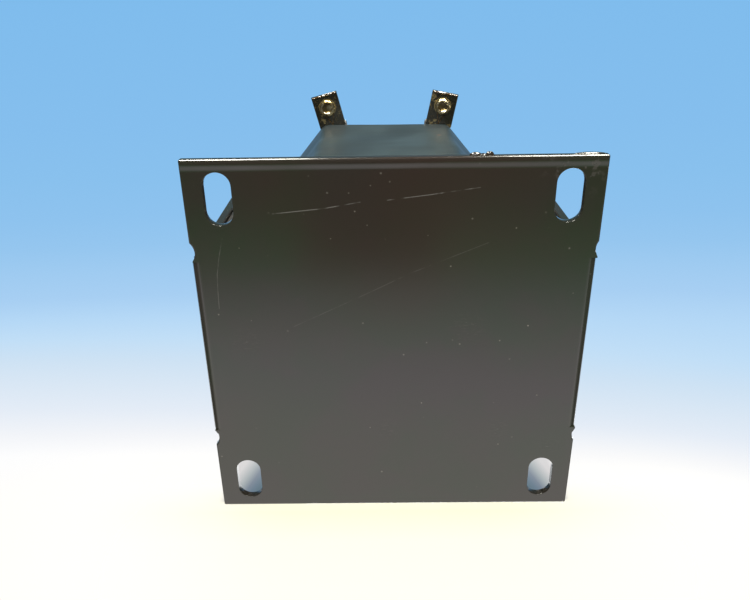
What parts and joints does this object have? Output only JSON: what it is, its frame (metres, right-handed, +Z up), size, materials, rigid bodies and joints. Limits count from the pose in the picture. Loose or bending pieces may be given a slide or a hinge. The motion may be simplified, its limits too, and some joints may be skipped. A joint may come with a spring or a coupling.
{
  "type": "laminated chassis transformer",
  "caption": "Open-frame power transformer: a laminated core and wound coil held in a folded steel bracket with slotted mounting feet and screw terminals.",
  "frame": {"origin": "Middle of the mounting plate's lower face, under the middle of the part", "axes": "+Z up from the mounting plate through the core, +Y to the back, along the stack and the coil's ends, +X to the right along the width between the side walls"},
  "size_m": [0.1148, 0.1284, 0.0958],
  "materials": {
    "bracket_paint": "semi-gloss black paint",
    "lamination_steel": "silicon steel under black varnish",
    "hardware_steel": "zinc-plated steel under varnish",
    "coil_wrap": "crepe wrap soaked in glossy black varnish",
    "coil_paper": "varnished kraft paper, brown",
    "winding_copper": "enamelled copper wire",
    "wedge_wood": "varnished wood",
    "terminal_brass": "brass under dark varnish",
    "screw_brass": "nickel-brass, worn bright",
    "lead_sleeve": "varnished woven sleeving"
  },
  "bodies": {
    "root": {"base_bracket": "bracket_paint", "e_laminations": "lamination_steel", "i_laminations": "lamination_steel", "core_bolts": "hardware_steel", "core_nuts": "hardware_steel", "core_washers": "hardware_steel", "coil_former": "coil_paper", "former_wedge": "wedge_wood", "primary_winding": "winding_copper", "primary_margins": "coil_paper", "winding_barrier": "coil_paper", "secondary_winding": "winding_copper", "secondary_margins": "coil_paper", "outer_insulation": "coil_paper", "coil_wrap": "coil_wrap", "terminal_front_left": "terminal_brass", "terminal_front_right": "terminal_brass", "terminal_back_left": "terminal_brass", "terminal_back_right": "terminal_brass", "terminal_clamps": "screw_brass", "terminal_screws": "screw_brass", "lead_front_left": "lead_sleeve", "lead_front_right": "lead_sleeve", "lead_back_left": "lead_sleeve", "lead_back_right": "lead_sleeve"}
  },
  "joints": []
}
